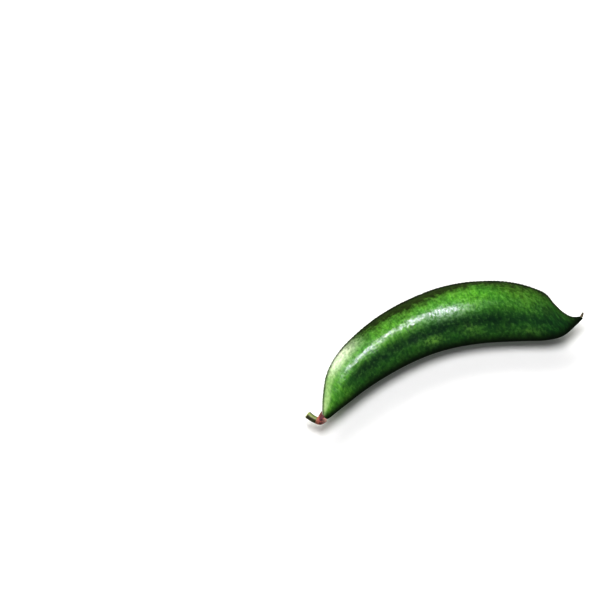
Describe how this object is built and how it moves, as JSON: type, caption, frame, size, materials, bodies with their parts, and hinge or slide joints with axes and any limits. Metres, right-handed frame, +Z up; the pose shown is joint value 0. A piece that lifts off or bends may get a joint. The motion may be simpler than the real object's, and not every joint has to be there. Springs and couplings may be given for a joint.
{
  "type": "hyacinth bean pod",
  "caption": "Curved, flattened green bean pod with a raised seam, seed swellings, a hooked beak, a red calyx cup and a stub of stalk, lying on its side.",
  "frame": {"origin": "on the surface that the pod lies on, below the middle of the object's bounding box", "axes": "+X along the pod from the stalk to the beak, +Y towards the convex seam, +Z up, through the pod's flat sides"},
  "size_m": [0.1104, 0.0354, 0.0107],
  "materials": {
    "pod_skin": "gloss",
    "calyx_red": "matte",
    "stalk_green": "satin",
    "style_brown": "matte"
  },
  "bodies": {
    "root": {"pod": "pod_skin", "calyx": "calyx_red", "stalk": "stalk_green", "style": "style_brown"}
  },
  "joints": []
}
